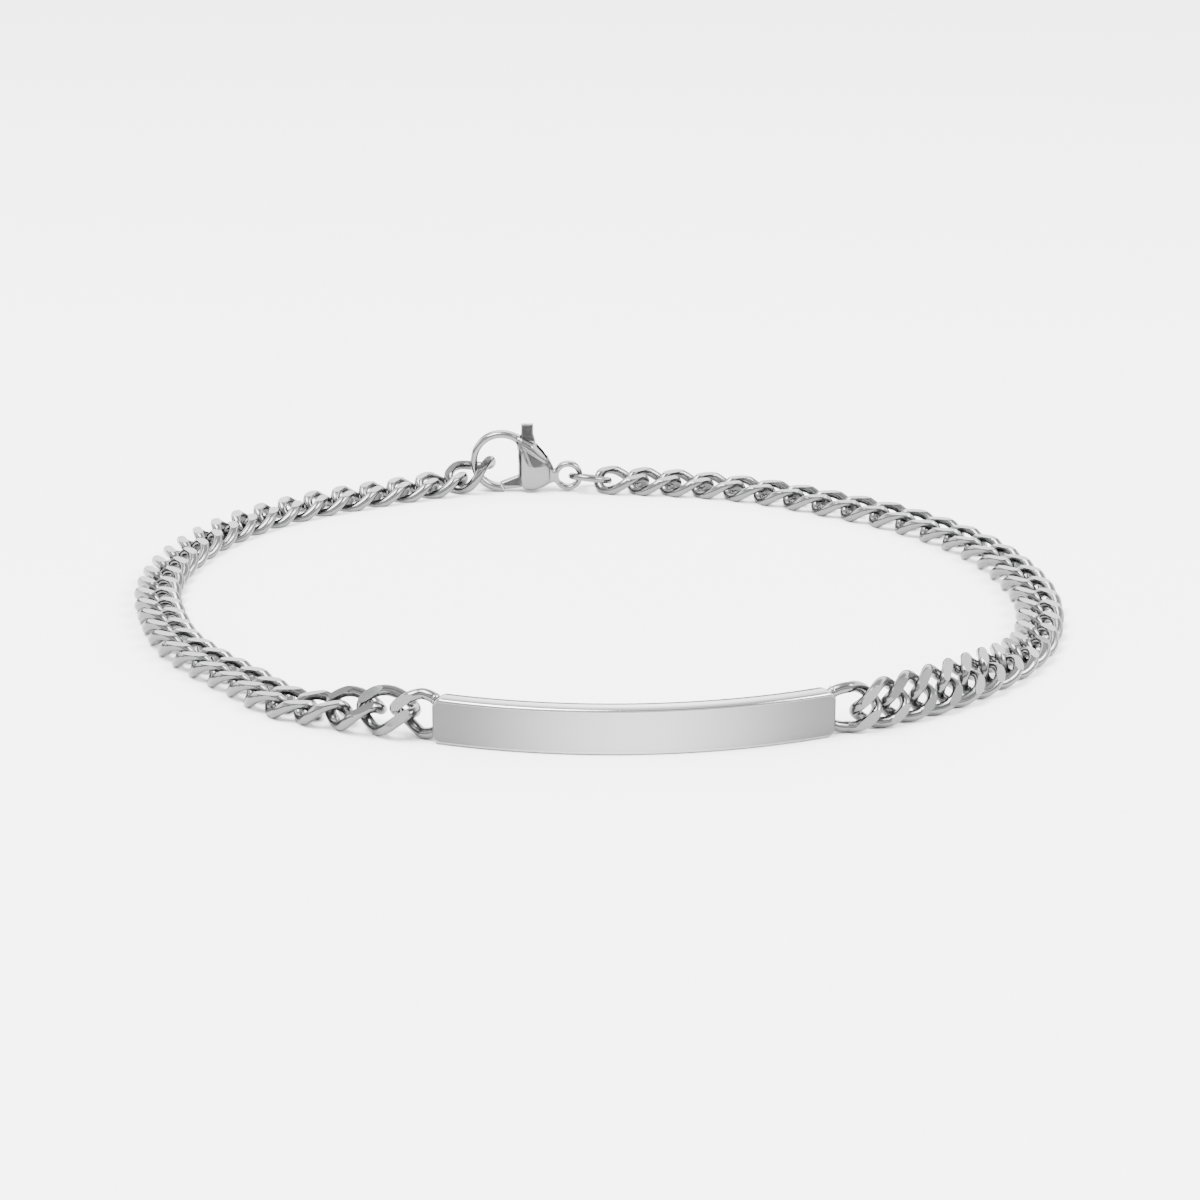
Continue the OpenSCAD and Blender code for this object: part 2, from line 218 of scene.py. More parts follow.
def add_node(tree, kind, inputs=(), **settings):
    """A shader node with its settings, and pairs of an input and what feeds it."""
    node = tree.nodes.new("ShaderNode" + kind)
    for key, value in settings.items():
        setattr(node, key, value)
    for key, value in inputs:
        feed(tree, node.inputs[key], value)
    return node


# Materials: polished steel, with faint polishing marks, slow changes of gloss, and a painted
# reflection on the plate

# Slow changes: their scale and detail, and the tone that they fall to
CLOUD_SCALE = 260
CLOUD_DETAIL = 2
CLOUD_DARK = 0.93
# Fine marks: their detail and their depth
MARK_DETAIL = 4
MARK_DEPTH = 0.01 * MM


def painted_reflection_to_ends(tree, place, tone, painted_end_share):
    """The tone, falling smoothly to a share of itself from the plate's middle to its ends. This is a
    painted reflection: the plate is painted lighter in its middle and darker at its ends, as light
    falls on it.
    """
    split = add_node(tree, "SeparateXYZ", [("Vector", place)])
    off = add_node(tree, "Math", [(0, split.outputs["X"]), (1, PLATE_PLACE[0] * MM)],
                   operation="SUBTRACT")
    away = add_node(tree, "Math", [(0, off.outputs["Value"])], operation="ABSOLUTE")
    share = add_node(tree, "MapRange",
                     [("Value", away.outputs["Value"]), ("From Max", PLATE_CHORD / 2 * MM),
                      ("To Min", 1), ("To Max", painted_end_share)], interpolation_type="SMOOTHSTEP")
    painted_tone = add_node(tree, "VectorMath", [(0, tone), ("Scale", share.outputs["Result"])],
                    operation="SCALE")
    return painted_tone.outputs["Vector"]


def steel(name, color, rough, rough_span, marks, mark_scale, bump, stretch=(1, 1, 1), painted_end_share=None):
    """Steel from its base colour, its lowest roughness and the span above it, the share of the fine
    marks in its gloss, their scale, relief and stretch, and the share of its tone left at the plate's
    ends by a painted reflection."""
    material = bpy.data.materials.new(name)
    material.use_nodes = True
    tree = material.node_tree
    place = add_node(tree, "TexCoord").outputs["Object"]
    marked = add_node(tree, "Mapping", [("Vector", place), ("Scale", stretch)]).outputs["Vector"]
    grain = add_node(tree, "TexNoise", [("Vector", marked), ("Scale", mark_scale),
                                        ("Detail", MARK_DETAIL)]).outputs["Fac"]
    cloud = add_node(tree, "TexNoise", [("Vector", place), ("Scale", CLOUD_SCALE),
                                        ("Detail", CLOUD_DETAIL)]).outputs["Fac"]
    tone = add_node(tree, "Mix", [("A", [c * CLOUD_DARK for c in color] + [1]),
                                  ("B", list(color) + [1]), ("Factor", cloud)],
                    data_type="RGBA").outputs["Result"]
    # Painted reflection: the tone is darkened towards the plate's ends
    if painted_end_share:
        tone = painted_reflection_to_ends(tree, place, tone, painted_end_share)
    both = add_node(tree, "Math", [(0, grain), (1, marks), (2, cloud)], operation="MULTIPLY_ADD")
    gloss = add_node(tree, "MapRange", [("Value", both.outputs["Value"]), ("To Min", rough),
                                        ("To Max", rough + rough_span)])
    rise = add_node(tree, "Bump", [("Strength", bump), ("Distance", MARK_DEPTH), ("Height", grain)])
    shader = tree.nodes["Principled BSDF"]
    for key, value in (("Metallic", 1), ("Base Color", tone), ("Roughness", gloss.outputs["Result"]),
                       ("Normal", rise.outputs["Normal"])):
        feed(tree, shader.inputs[key], value)
    return material


chain_steel = steel("chain_steel", (0.153, 0.153, 0.155), rough=0.12, rough_span=0.14,
                    marks=0.3, mark_scale=3000, bump=0.05)
# The plate's two materials carry a painted reflection, lighter in the plate's middle and darker
# towards its ends
plate_edge_steel = steel("plate_edge_steel", (0.45, 0.45, 0.454), rough=0.08, rough_span=0.06,
                         marks=0.3, mark_scale=3000, bump=0.02, painted_end_share=0.6)
plate_steel = steel("plate_steel", (0.41, 0.41, 0.413), rough=0.36, rough_span=0.06,
                    marks=0.4, mark_scale=2500, bump=0.04, stretch=(0.15, 0.15, 2), painted_end_share=0.3)
clasp_steel = steel("clasp_steel", (0.18, 0.18, 0.182), rough=0.14, rough_span=0.12,
                    marks=0.3, mark_scale=2500, bump=0.06)


# Curb link: a flat oval of round wire, twisted and then cut flat on both faces

CUT_POINTS = 6
SIDE_POINTS = 7
RING_POINTS = 2 * (CUT_POINTS + SIDE_POINTS)
LINK_RINGS = 60
# Half the angle in radians that the points of a face take up where it cuts nothing, and
# how far past the wire's middle it may cut, as a share of the wire's radius
LEAST_FLAT = 0.1
DEEPEST_CUT = -0.95


def link_turn(u):
    return -LINK_TWIST / 2 * cos(u)


def link_middle(u, twist):
    """Middle of the wire at the angle u round its oval, which is turned by the twist there."""
    return np.array([LINK_A * cos(u), LINK_B * sin(u) * cos(twist), LINK_B * sin(u) * sin(twist)])


def cut_section(middle, along, face):
    """One section of the wire. Where a flat face cuts it, its points lie in that face."""
    along = unit(along)
    lift = unit(face - (face @ along) * along)
    side = np.cross(along, lift)
    reach = WIRE_R * math.hypot(side[2], lift[2])
    top = math.atan2(lift[2], side[2])
    cuts = []
    for sign, mid in ((1, top), (-1, top + math.pi)):
        share = (LINK_CUT / 2 - sign * middle[2]) / reach
        half = math.acos(max(DEEPEST_CUT, min(1, share)))
        cuts.append((mid, max(half, LEAST_FLAT), half > LEAST_FLAT))

    def point(angle):
        return middle + WIRE_R * (math.cos(angle) * side + math.sin(angle) * lift)

    ring = []
    for k, (mid, half, is_cut) in enumerate(cuts):
        first, last = point(mid - half), point(mid + half)
        for i in range(CUT_POINTS):
            t = i / (CUT_POINTS - 1)
            ring.append(first + t * (last - first) if is_cut else point(mid - half + 2 * half * t))
        next_mid, next_half, _ = cuts[1 - k]
        start, stop = mid + half, next_mid + (2 * math.pi if k else 0) - next_half
        for i in range(1, SIDE_POINTS + 1):
            ring.append(point(start + (stop - start) * i / (SIDE_POINTS + 1)))
    return ring


def wire_sections(angles, middle_at, turn_at):
    """Sections of a link's wire at these angles round its oval."""
    points = []
    for u in angles:
        face = np.array([0, -sin(turn_at(u)), cos(turn_at(u))])
        points += cut_section(middle_at(u), middle_at(u + 1) - middle_at(u - 1), face)
    return np.array(points)


def tube_faces(rings, closed, first=0, around=RING_POINTS):
    """Faces between rings of points, which run clockwise about the way ahead, so that the
    faces look outwards."""
    faces = []
    for i in range(rings if closed else rings - 1):
        a, b = first + i * around, first + (i + 1) % rings * around
        for k in range(around):
            n = (k + 1) % around
            faces.append((a + n, a + k, b + k, b + n))
    return faces


def tube_caps(rings, around=RING_POINTS):
    """Faces that close the first and the last ring."""
    last = (rings - 1) * around
    return [tuple(range(around)), tuple(range(last, last + around))[::-1]]


shell = wire_sections([360 * k / LINK_RINGS for k in range(LINK_RINGS)],
                      lambda u: link_middle(u, link_turn(u)), link_turn)


# Route of the chains, as in the part's source

ROUTE_STEPS = 8
# Half of the stretch along which a chain's direction is read
HEADING_REACH = 0.4


def plate_centre():
    return PLATE_PLACE + turned([0, PLATE_R], PLATE_TURN)


def plate_end_turn(side):
    return (-1 if side == LEFT else 1) * PLATE_ANGLE / 2 + PLATE_TURN


def plate_end(side):
    return plate_centre() + turned([0, PLATE_T / 2 - PLATE_R], plate_end_turn(side))


def lug_heading(side):
    return plate_end_turn(side) + (180 if side == LEFT else -RIGHT_SPLAY)


def lug_at(side):
    return plate_end(side) + turned([LUG_REACH[side], 0], lug_heading(side))


def last_link_at(side):
    if side == LEFT:
        return CLASP_PLACE
    return np.array([RING_AT[0] + RING_A - RING_WIRE_D / 2 - WIRE_R - RING_PLAY + LINK_A,
                     CLASP_PLACE[1]])


def curve_point(p, i, t):
    """A point on the smooth curve from p[i] to p[i + 1]."""
    return 0.5 * (2 * p[i] + (p[i + 1] - p[i - 1]) * t
                  + (2 * p[i - 1] - 5 * p[i] + 4 * p[i + 1] - p[i + 2]) * t * t
                  + (3 * p[i] - 3 * p[i + 1] + p[i + 2] - p[i - 1]) * t ** 3)


def route_curve(side):
    """A chain's route in plan, as points on a smooth curve and the length run at each."""
    past = np.array([-PITCH if side == LEFT else PITCH, 0])
    p = [plate_end(side), lug_at(side)] + [LOOP * share for share in CHAIN_ROUTE[side]]
    p += [last_link_at(side), last_link_at(side) - past]
    curve = [curve_point(p, i, k / ROUTE_STEPS)
             for i in range(1, len(p) - 2) for k in range(ROUTE_STEPS)]
    curve = np.array(curve + [p[-2]])
    steps = np.linalg.norm(np.diff(curve, axis=0), axis=1)
    return curve, np.concatenate([[0], np.cumsum(steps)])


ROUTES = [route_curve(LEFT), route_curve(RIGHT)]
ROUTE_LEN = [runs[-1] for _, runs in ROUTES]
# The links' number keeps the widest spacing within a taut pitch
LINKS = [math.ceil(ROUTE_LEN[LEFT] / (PITCH * (1 - LEFT_SLACK))),
         math.ceil(ROUTE_LEN[RIGHT] * (1 + RIGHT_BUNCH / 4) / PITCH)]


def plan_at(side, s):
    curve, runs = ROUTES[side]
    return np.array([np.interp(s, runs, curve[:, axis]) for axis in (0, 1)])


def plan_heading(side, s):
    d = plan_at(side, s + HEADING_REACH) - plan_at(side, s - HEADING_REACH)
    return math.degrees(math.atan2(d[1], d[0]))


# Where each link lies, how it is rolled about its length and how high it is

def link_run(side, i):
    t = i / LINKS[side]
    bunch = RIGHT_BUNCH if side == RIGHT else 0
    return ROUTE_LEN[side] * (t - bunch * t * (1 - t) ** 3)


def roll_at(side, s):
    share = s / ROUTE_LEN[side]
    settle = np.interp(share, [SETTLE_FROM[side], SETTLE_TO[side]], [STANDING[side], 0])
    return settle + END_ROLL[side] * ease((share - 1) / END_ROLL_SHARE[side] + 1)


def climb(side, s):
    """How far a link has come to the tilt at the hook, from 0 to 1."""
    return max(0, (s / ROUTE_LEN[side] - 1) / HOOK_TILT_SHARE + 1) if side == LEFT else 0


def rest_height(roll, slope=0):
    """Height of a link's middle when its lowest point touches the floor."""
    lift = shell[:, 0] * sin(slope) + (shell[:, 1] * sin(roll) + shell[:, 2] * cos(roll)) * cos(slope)
    return -lift.min()


def slope_at(side, s):
    rise = rest_height(roll_at(side, s + PITCH / 2)) - rest_height(roll_at(side, s - PITCH / 2))
    return math.degrees(math.atan(rise / PITCH)) + HOOK_TILT * climb(side, s)


def placed(points, origin, heading, slope, roll):
    """Points of a link moved to its middle, and rolled, sloped and headed as it is."""
    along = np.array([cos(heading) * cos(slope), sin(heading) * cos(slope), sin(slope)])
    across = np.array([-sin(heading), cos(heading), 0])
    lift = np.cross(along, across)
    y_axis = across * cos(roll) + lift * sin(roll)
    z_axis = lift * cos(roll) - across * sin(roll)
    return origin + points @ np.array([along, y_axis, z_axis])


def chain(side, node):
    links, faces = [], []
    for i in range(1, LINKS[side] + 1):
        s = link_run(side, i)
        slope, roll = slope_at(side, s), roll_at(side, s)
        origin = np.append(plan_at(side, s), rest_height(roll, slope))
        faces += tube_faces(LINK_RINGS, True, len(links) * len(shell))
        links.append(placed(shell, origin, plan_heading(side, s), slope, roll))
    make_piece(f"{node}_links", np.concatenate(links), faces, chain_steel, node)


chain(LEFT, "chain_left")
chain(RIGHT, "chain_right")


# Half links on the plate's ends, with the solder that holds them

LUG_RINGS = 41
BEAD_ROWS = 12
BEAD_COLUMNS = 20


def lug_turn(u):
    """Turn of the wire in a half link, whose legs aren't twisted."""
    return min(0, link_turn(u))


def lug_middle(u, legs):
    """Middle of the wire in a half link, whose legs have their own length."""
    m = link_middle(u, lug_turn(u))
    return m * np.array([legs / LINK_A if m[0] < 0 else 1, 1, 1])


def beside_plate(points, side):
    return placed(points, np.append(lug_at(side), LINK_W / 2), lug_heading(side), 0, STANDING[side])


def ball(rows, columns):
    """Points and faces of a ball of radius 1."""
    points = [[0, 0, 1]]
    for i in range(1, rows):
        for j in range(columns):
            points.append([cos(360 * j / columns) * sin(180 * i / rows),
                           sin(360 * j / columns) * sin(180 * i / rows), cos(180 * i / rows)])
    foot = len(points)
    points.append([0, 0, -1])
    faces = tube_faces(rows - 1, False, 1, columns)
    for j in range(columns):
        n = (j + 1) % columns
        faces += [(0, 1 + j, 1 + n), (foot - columns + j, foot, foot - columns + n)]
    return np.array(points), faces


def solder_bead(side, name, middle, sign):
    """A bead of solder round the wire. The sign makes the two of a half link differ."""
    points, faces = ball(BEAD_ROWS, BEAD_COLUMNS)
    x, y, z = (points * BEAD_WAVES).T
    lump = 1 + BEAD_LUMP * np.sin(x + y + sign) * np.cos(z)
    points = middle + points * lump[:, None] * BEAD_HALF
    make_piece(name, beside_plate(points, side), faces, clasp_steel, "id_plate",
               smooth_angle=60)


def half_link(side, name):
    legs = (LUG_REACH[side] + LUG_ROOT) / LUG_CLOSE
    reach = math.degrees(math.acos(-LUG_CLOSE))
    points = wire_sections([reach * (2 * k / (LUG_RINGS - 1) - 1) for k in range(LUG_RINGS)],
                           lambda u: lug_middle(u, legs), lug_turn)
    faces = tube_faces(LUG_RINGS, False) + tube_caps(LUG_RINGS)
    make_piece(name, beside_plate(points, side), faces, chain_steel, "id_plate")
    for part, sign in (("upper", 1), ("lower", -1)):
        u = sign * math.degrees(math.acos(-LUG_CLOSE * BEAD_SHARE))
        solder_bead(side, f"{name}_solder_{part}", lug_middle(u, legs), sign)


half_link(LEFT, "left_half_link")
half_link(RIGHT, "right_half_link")


# Plate: a bent bar, its long edges and its corners rounded. Its top edge is crowned a
# little, so that the far side of it mirrors the dark horizon as in the photograph.

EDGE_STEPS = 6
CROWN_STEPS = 6
END_STEPS = 10
LONG_STEPS = 150


def rounded(r, inset):
    """How far a rounding of radius r falls back at a distance from the plate's end."""
    return r - math.sqrt(max(0, r ** 2 - max(0, r - inset) ** 2))


def plate_stops(arc):
    """Places of the sections along the plate, closest together at its ends."""
    near = [PLATE_CORNER * (1 - cos(180 * k / END_STEPS)) / 2 for k in range(END_STEPS + 1)]
    middle = np.linspace(PLATE_CORNER, arc - PLATE_CORNER, LONG_STEPS)[1:-1]
    return near + list(middle) + [arc - s for s in reversed(near)]


def plate_section(half_t, half_h):
    """Outline across the plate, outwards and up from its middle."""
    out, up = half_t - PLATE_EDGE, half_h - PLATE_EDGE
    corners = []
    for k, (x, z) in enumerate(((out, up), (-out, up), (-out, -up), (out, -up))):
        turns = [90 * k + 90 * step / EDGE_STEPS for step in range(EDGE_STEPS + 1)]
        corners.append([[x + PLATE_EDGE * cos(a), z + PLATE_EDGE * sin(a)] for a in turns])
    shares = [k / CROWN_STEPS for k in range(1, CROWN_STEPS)]
    crown = [[out * (1 - 2 * t), half_h + PLATE_CROWN * 4 * t * (1 - t)] for t in shares]
    return corners[0] + crown + corners[1] + corners[2] + corners[3]


def plate():
    arc = math.radians(PLATE_ANGLE) * PLATE_R
    stops = plate_stops(arc)
    points = []
    for s in stops:
        inset = min(s, arc - s)
        section = plate_section(PLATE_T / 2 - rounded(PLATE_EDGE, inset),
                                PLATE_H / 2 - rounded(PLATE_CORNER, inset))
        angle = math.degrees(s / PLATE_R) - PLATE_ANGLE / 2
        for out, up in section:
            r = PLATE_R - PLATE_T / 2 + out
            plan = plate_centre() + turned([r * sin(angle), -r * cos(angle)], PLATE_TURN)
            points.append([plan[0], plan[1], PLATE_H / 2 + up])
    around = len(section)
    faces = tube_faces(len(stops), False, 0, around) + tube_caps(len(stops), around)
    obj = make_piece("plate_bar", points, faces, plate_edge_steel, "id_plate",
                     smooth_angle=38)
    obj.data.materials.append(plate_steel)
    # Strips of the outer and the inner face, after the section's last and third corner
    outer, inner = around - 1, around - 2 * EDGE_STEPS - 3
    for i, polygon in enumerate(obj.data.polygons[:-2]):
        polygon.material_index = int(i % around in (outer, inner))


plate()


# Connector ring, an oval of round wire

OVAL_RINGS = 72
OVAL_SIDES = 20


def connector():
    up = np.array([0, 0, 1])
    points = []
    for k in range(OVAL_RINGS):
        u = 360 * k / OVAL_RINGS
        middle = np.array([RING_A * cos(u), RING_B * sin(u), 0])
        out = np.cross(unit(np.array([-RING_A * sin(u), RING_B * cos(u), 0])), up)
        for j in range(OVAL_SIDES):
            turn = 360 * j / OVAL_SIDES
            points.append(middle + RING_WIRE_D / 2 * (cos(turn) * out + sin(turn) * up))
    x, y, z = np.array(points).T
    y, z = y * cos(RING_TILT) - z * sin(RING_TILT), y * sin(RING_TILT) + z * cos(RING_TILT)
    x, z = x * cos(RING_SAG) + z * sin(RING_SAG), z * cos(RING_SAG) - x * sin(RING_SAG)
    make_piece("connector_oval", np.stack([x, y, z], 1) + RING_AT,
               tube_faces(OVAL_RINGS, True, 0, OVAL_SIDES), chain_steel, "connector_ring",
               smooth_angle=40)


connector()


# Distance fields: shapes given by the distance to their surface, negative inside

def circle_at(x, z, at, r):
    return np.hypot(x - at[0], z - at[1]) - r


def polygon_at(x, z, corners):
    """Distance to a closed outline."""
    corners = np.array(corners)
    d = np.full(np.broadcast(x, z).shape, np.inf)
    sign = np.ones(d.shape)
    for i in range(len(corners)):
        (ax, az), (bx, bz) = corners[i], corners[i - 1]
        ex, ez, wx, wz = bx - ax, bz - az, x - ax, z - az
        t = np.clip((wx * ex + wz * ez) / (ex * ex + ez * ez), 0, 1)
        d = np.minimum(d, (wx - ex * t) ** 2 + (wz - ez * t) ** 2)
        above, below, beside = z >= az, z < bz, ex * wz > ez * wx
        flip = (above & below & beside) | (~above & ~below & ~beside)
        sign = np.where(flip, -sign, sign)
    return sign * np.sqrt(d)


def thick(flat, y, half, r):
    """A flat shape given a thickness, with its edges rounded to r."""
    a, b = flat + r, np.abs(y) - half + r
    return np.minimum(np.maximum(a, b), 0) + np.hypot(np.maximum(a, 0), np.maximum(b, 0)) - r


def joined(a, b, k):
    """Two shapes as one, with a fillet of about k where they meet."""
    h = np.clip(0.5 + 0.5 * (b - a) / k, 0, 1)
    return b * (1 - h) + a * h - k * h * (1 - h)


def mixed_cells(inside):
    """Cells of the grid that have corners on both sides of the surface."""
    n = inside.shape
    count = np.zeros([m - 1 for m in n], int)
    for i, j, k in np.ndindex(2, 2, 2):
        count += inside[i:n[0] - 1 + i, j:n[1] - 1 + j, k:n[2] - 1 + k]
    return np.argwhere((count > 0) & (count < 8))


def crossing_means(v, cells):
    """Mean place, in steps of the grid, where the edges of each cell cross the surface."""
    total, hits = np.zeros((len(cells), 3)), np.zeros(len(cells))
    for axis in range(3):
        others = [a for a in range(3) if a != axis]
        for i, j in np.ndindex(2, 2):
            start = cells.copy()
            start[:, others[0]] += i
            start[:, others[1]] += j
            stop = start.copy()
            stop[:, axis] += 1
            a, b = v[tuple(start.T)], v[tuple(stop.T)]
            cross = (a < 0) != (b < 0)
            spot = start.astype(float)
            spot[:, axis] += np.where(cross, a / np.where(cross, a - b, 1), 0)
            total += spot * cross[:, None]
            hits += cross
    return total / hits[:, None]


# Cells round an edge of the grid that enters the shape, and round one that leaves it, in
# an order that makes their face look outwards
CELLS_ROUND = {True: ((0, 0), (0, -1), (-1, -1), (-1, 0)),
               False: ((0, -1), (0, 0), (-1, 0), (-1, -1))}


def crossing_faces(inside, index):
    """One face for each edge of the grid that crosses the surface, from its four cells."""
    n = inside.shape
    faces = []
    for axis in range(3):
        b, c = (axis + 1) % 3, (axis + 2) % 3
        first, second = [slice(None)] * 3, [slice(None)] * 3
        first[axis], second[axis] = slice(0, n[axis] - 1), slice(1, n[axis])
        for entering, cells in CELLS_ROUND.items():
            change = (inside[tuple(first)] != entering) & (inside[tuple(second)] == entering)
            e = np.argwhere(change)
            e = e[(e[:, b] > 0) & (e[:, c] > 0) & (e[:, b] < n[b] - 1) & (e[:, c] < n[c] - 1)]
            quad = []
            for db, dc in cells:
                cell = e.copy()
                cell[:, b] += db
                cell[:, c] += dc
                quad.append(index[tuple(cell.T)])
            faces.append(np.stack(quad, 1))
    return np.concatenate(faces)


# Rounds that move the points onto the surface, and in steps of the grid the reach that
# its slope is read over and the farthest move. A gentler slope counts as the least one.
DRAW_ROUNDS = 3
SLOPE_REACH = 0.25
FARTHEST_MOVE = 0.4
LEAST_SLOPE_SQUARED = 0.3
NEARLY_ZERO = 1e-9


def drawn_to_surface(field, points, step):
    h = step * SLOPE_REACH
    slope = np.stack([(field(*(points + h * e).T) - field(*(points - h * e).T)) / (2 * h)
                      for e in np.eye(3)], 1)
    steepness = np.maximum((slope ** 2).sum(1), LEAST_SLOPE_SQUARED)
    move = -(field(*points.T) / steepness)[:, None] * slope
    far = np.linalg.norm(move, axis=1, keepdims=True)
    return points + move * np.minimum(1, FARTHEST_MOVE * step / np.maximum(far, NEARLY_ZERO))


def surface(field, low, high, step):
    """Mesh of the places where the field is zero."""
    n = [int(math.ceil((high[i] - low[i]) / step)) + 1 for i in range(3)]
    x, y, z = [low[i] + step * np.arange(n[i]) for i in range(3)]
    v = np.broadcast_to(field(x[:, None, None], y[None, :, None], z[None, None, :]), n)
    cells = mixed_cells(v < 0)
    index = np.full([m - 1 for m in n], -1)
    index[tuple(cells.T)] = np.arange(len(cells))
    points = np.array(low) + step * crossing_means(v, cells)
    for _ in range(DRAW_ROUNDS):
        points = drawn_to_surface(field, points, step)
    return points, crossing_faces(v < 0, index).tolist()


# Clasp: its outlines, from the hook's left end and the surface below it, with half the
# body's width along it. The points are shares of the clasp's length and width.

BODY = CLASP_LEN * np.array([
    [0.414, 0.494], [0.454, 0.508], [0.567, 0.446], [0.69, 0.317], [0.738, 0.224], [0.741, 0.086],
    [0.655, 0.048], [0.592, 0.028], [0.529, 0.023], [0.477, 0.032], [0.439, 0.063], [0.418, 0.138]])
BODY_SIDE = np.array([[0.36, 0.227], [0.46, 0.451], [0.55, 0.5], [0.64, 0.435], [0.745, 0.217]])
NECK = CLASP_LEN * np.array([[0.7, 0.26], [0.74, 0.2], [0.8, 0.2], [0.8, 0.09], [0.74, 0.085],
                             [0.7, 0.08]])
SCOOP = CLASP_LEN * np.array([[0.425, 0.463], [0.728, 0.25], [0.517, 0.23], [0.49, 0.31]])
GATE_TIP = CLASP_LEN * np.array([[0.264, 0.083], [0.3, 0.023]])
GATE = CLASP_LEN * np.array([[0.452, 0.04], [0.52, 0.11], [0.61, 0.15], [0.625, 0.24]])
GATE_BACK = CLASP_LEN * np.array([[0.47, 0.28], [0.42, 0.144]])
ROOM = CLASP_LEN * np.array([[0.34, -0.05], [0.47, -0.05], [0.5, 0.05], [0.6, 0.09], [0.66, 0.16],
                             [0.68, 0.3], [0.68, 0.7]])
ROOM_BESIDE_TAB = CLASP_LEN * np.array([0.7, 0.43])
ROOM_BACK = CLASP_LEN * np.array([[0.43, 0.4], [0.34, 0.3]])

# Rounding of the cast edges, and fillets where the forms meet
HOOK_SOFT, BODY_SOFT, NECK_SOFT, EYE_SOFT, LEVER_SOFT = 0.25, 0.42, 0.2, 0.18, 0.14
HOOK_FILLET, EYE_FILLET, NECK_FILLET = 0.3, 0.1, 0.15
# How far the mouth reaches up and down from the gate's tip and past the hook
MOUTH_UP, MOUTH_DOWN, MOUTH_PAST = 1.2, 2, 1
# How much the body's faces bulge, and how far in from its outline
BULGE, BULGE_REACH = 0.16, 1.2
# The scoop's foot, the slope and height of its floor, and the width of its rim
SCOOP_FOOT, SCOOP_SLOPE, SCOOP_RISE, SCOOP_RIM = 2.15, 0.12, 2, 0.1
# Slope, start and height of the taper in the gate's and the tab's thickness, the top of
# the gate's, and the width and height of the tab's flared foot
GATE_TAPER, GATE_TAPER_FROM, GATE_TAPER_RISE, GATE_TOP = 0.2, 0.5, 0.8, 2.5
TAB_TAPER, TAB_TAPER_FROM, TAB_TAPER_RISE = 0.18, 4.1, 1.3
TAB_FLARE_W, TAB_FLARE_H = 0.1, 0.35
# Spacing of the grid that the casting is meshed on, finer by a share for the lever, and
# the boxes that hold the body and the lever
GRID_STEP = 0.05
LEVER_STEP = 0.8 * GRID_STEP
BODY_BOX = [-0.2, -1.3, -0.2], [8.9, 1.3, 5]
LEVER_BOX = [2.1, -0.55, 0], [5.8, 0.55, 5.7]


def hook_field(x, y, z):
    """The hook's ring, thicker below than above, with its mouth cut open."""
    shift = HOOK_HOLE_LIFT / 2
    off = np.abs(np.hypot(x - HOOK_R, z - HOOK_R - shift) - (HOOK_R - HOOK_BAR / 2))
    bar = HOOK_BAR / 2 + shift * np.clip((HOOK_R - z) / HOOK_R, 0, 1)
    ring = thick(off - bar, y, HOOK_W / 2, HOOK_SOFT)
    down = unit(GATE_TIP[1] - GATE_TIP[0])
    corner = GATE_TIP[0] + LEVER_GAP * np.array([down[1], -down[0]])
    right = 2 * HOOK_R + MOUTH_PAST
    mouth = polygon_at(x, z, [corner - MOUTH_UP * down, corner + MOUTH_DOWN * down,
                              [right, -MOUTH_PAST], [right, HOOK_R]])
    return np.maximum(ring, -mouth)


def bulged_field(x, y, z):
    """The clasp's bulged body, with a scoop in each face."""
    flat = polygon_at(x, z, BODY)
    side = np.interp(x / CLASP_LEN, BODY_SIDE[:, 0], BODY_SIDE[:, 1] * CLASP_W)
    side = side + BULGE * np.clip(-flat / BULGE_REACH, 0, 1) - BULGE
    floor_depth = SCOOP_SLOPE * np.clip(z - SCOOP_FOOT, 0, SCOOP_RISE)
    scoop = floor_depth * np.clip(-polygon_at(x, z, SCOOP) / SCOOP_RIM, 0, 1)
    return thick(flat, y, side - scoop, BODY_SOFT)


def eye_field(x, y, z):
    """The eye on its neck."""
    neck = thick(polygon_at(x, z, NECK), y, EYE_W / 2, NECK_SOFT)
    off = np.abs(circle_at(x, z, EYE_AT, (EYE_R + EYE_HOLE_R) / 2))
    eye = thick(off - (EYE_R - EYE_HOLE_R) / 2, y, EYE_W / 2, EYE_SOFT)
    return joined(eye, neck, EYE_FILLET)


def lever_room_field(x, y, z):
    """The slit that the lever turns in."""
    beside_tab = [[TAB_LEFT - LEVER_GAP, height] for height in ROOM_BESIDE_TAB]
    flat = np.minimum(circle_at(x, z, PIVOT, HUB_R + LEVER_GAP),
                      polygon_at(x, z, list(ROOM) + beside_tab + list(ROOM_BACK)))
    return np.maximum(flat, np.abs(y) - LEVER_W / 2 - LEVER_GAP)


def clasp_body_field(x, y, z):
    solid = joined(hook_field(x, y, z), bulged_field(x, y, z), HOOK_FILLET)
    solid = joined(solid, eye_field(x, y, z), NECK_FILLET)
    solid = np.maximum(solid, -lever_room_field(x, y, z))
    solid = np.maximum(solid, -circle_at(x, z, EYE_AT, EYE_HOLE_R))
    return np.maximum(solid, -z)


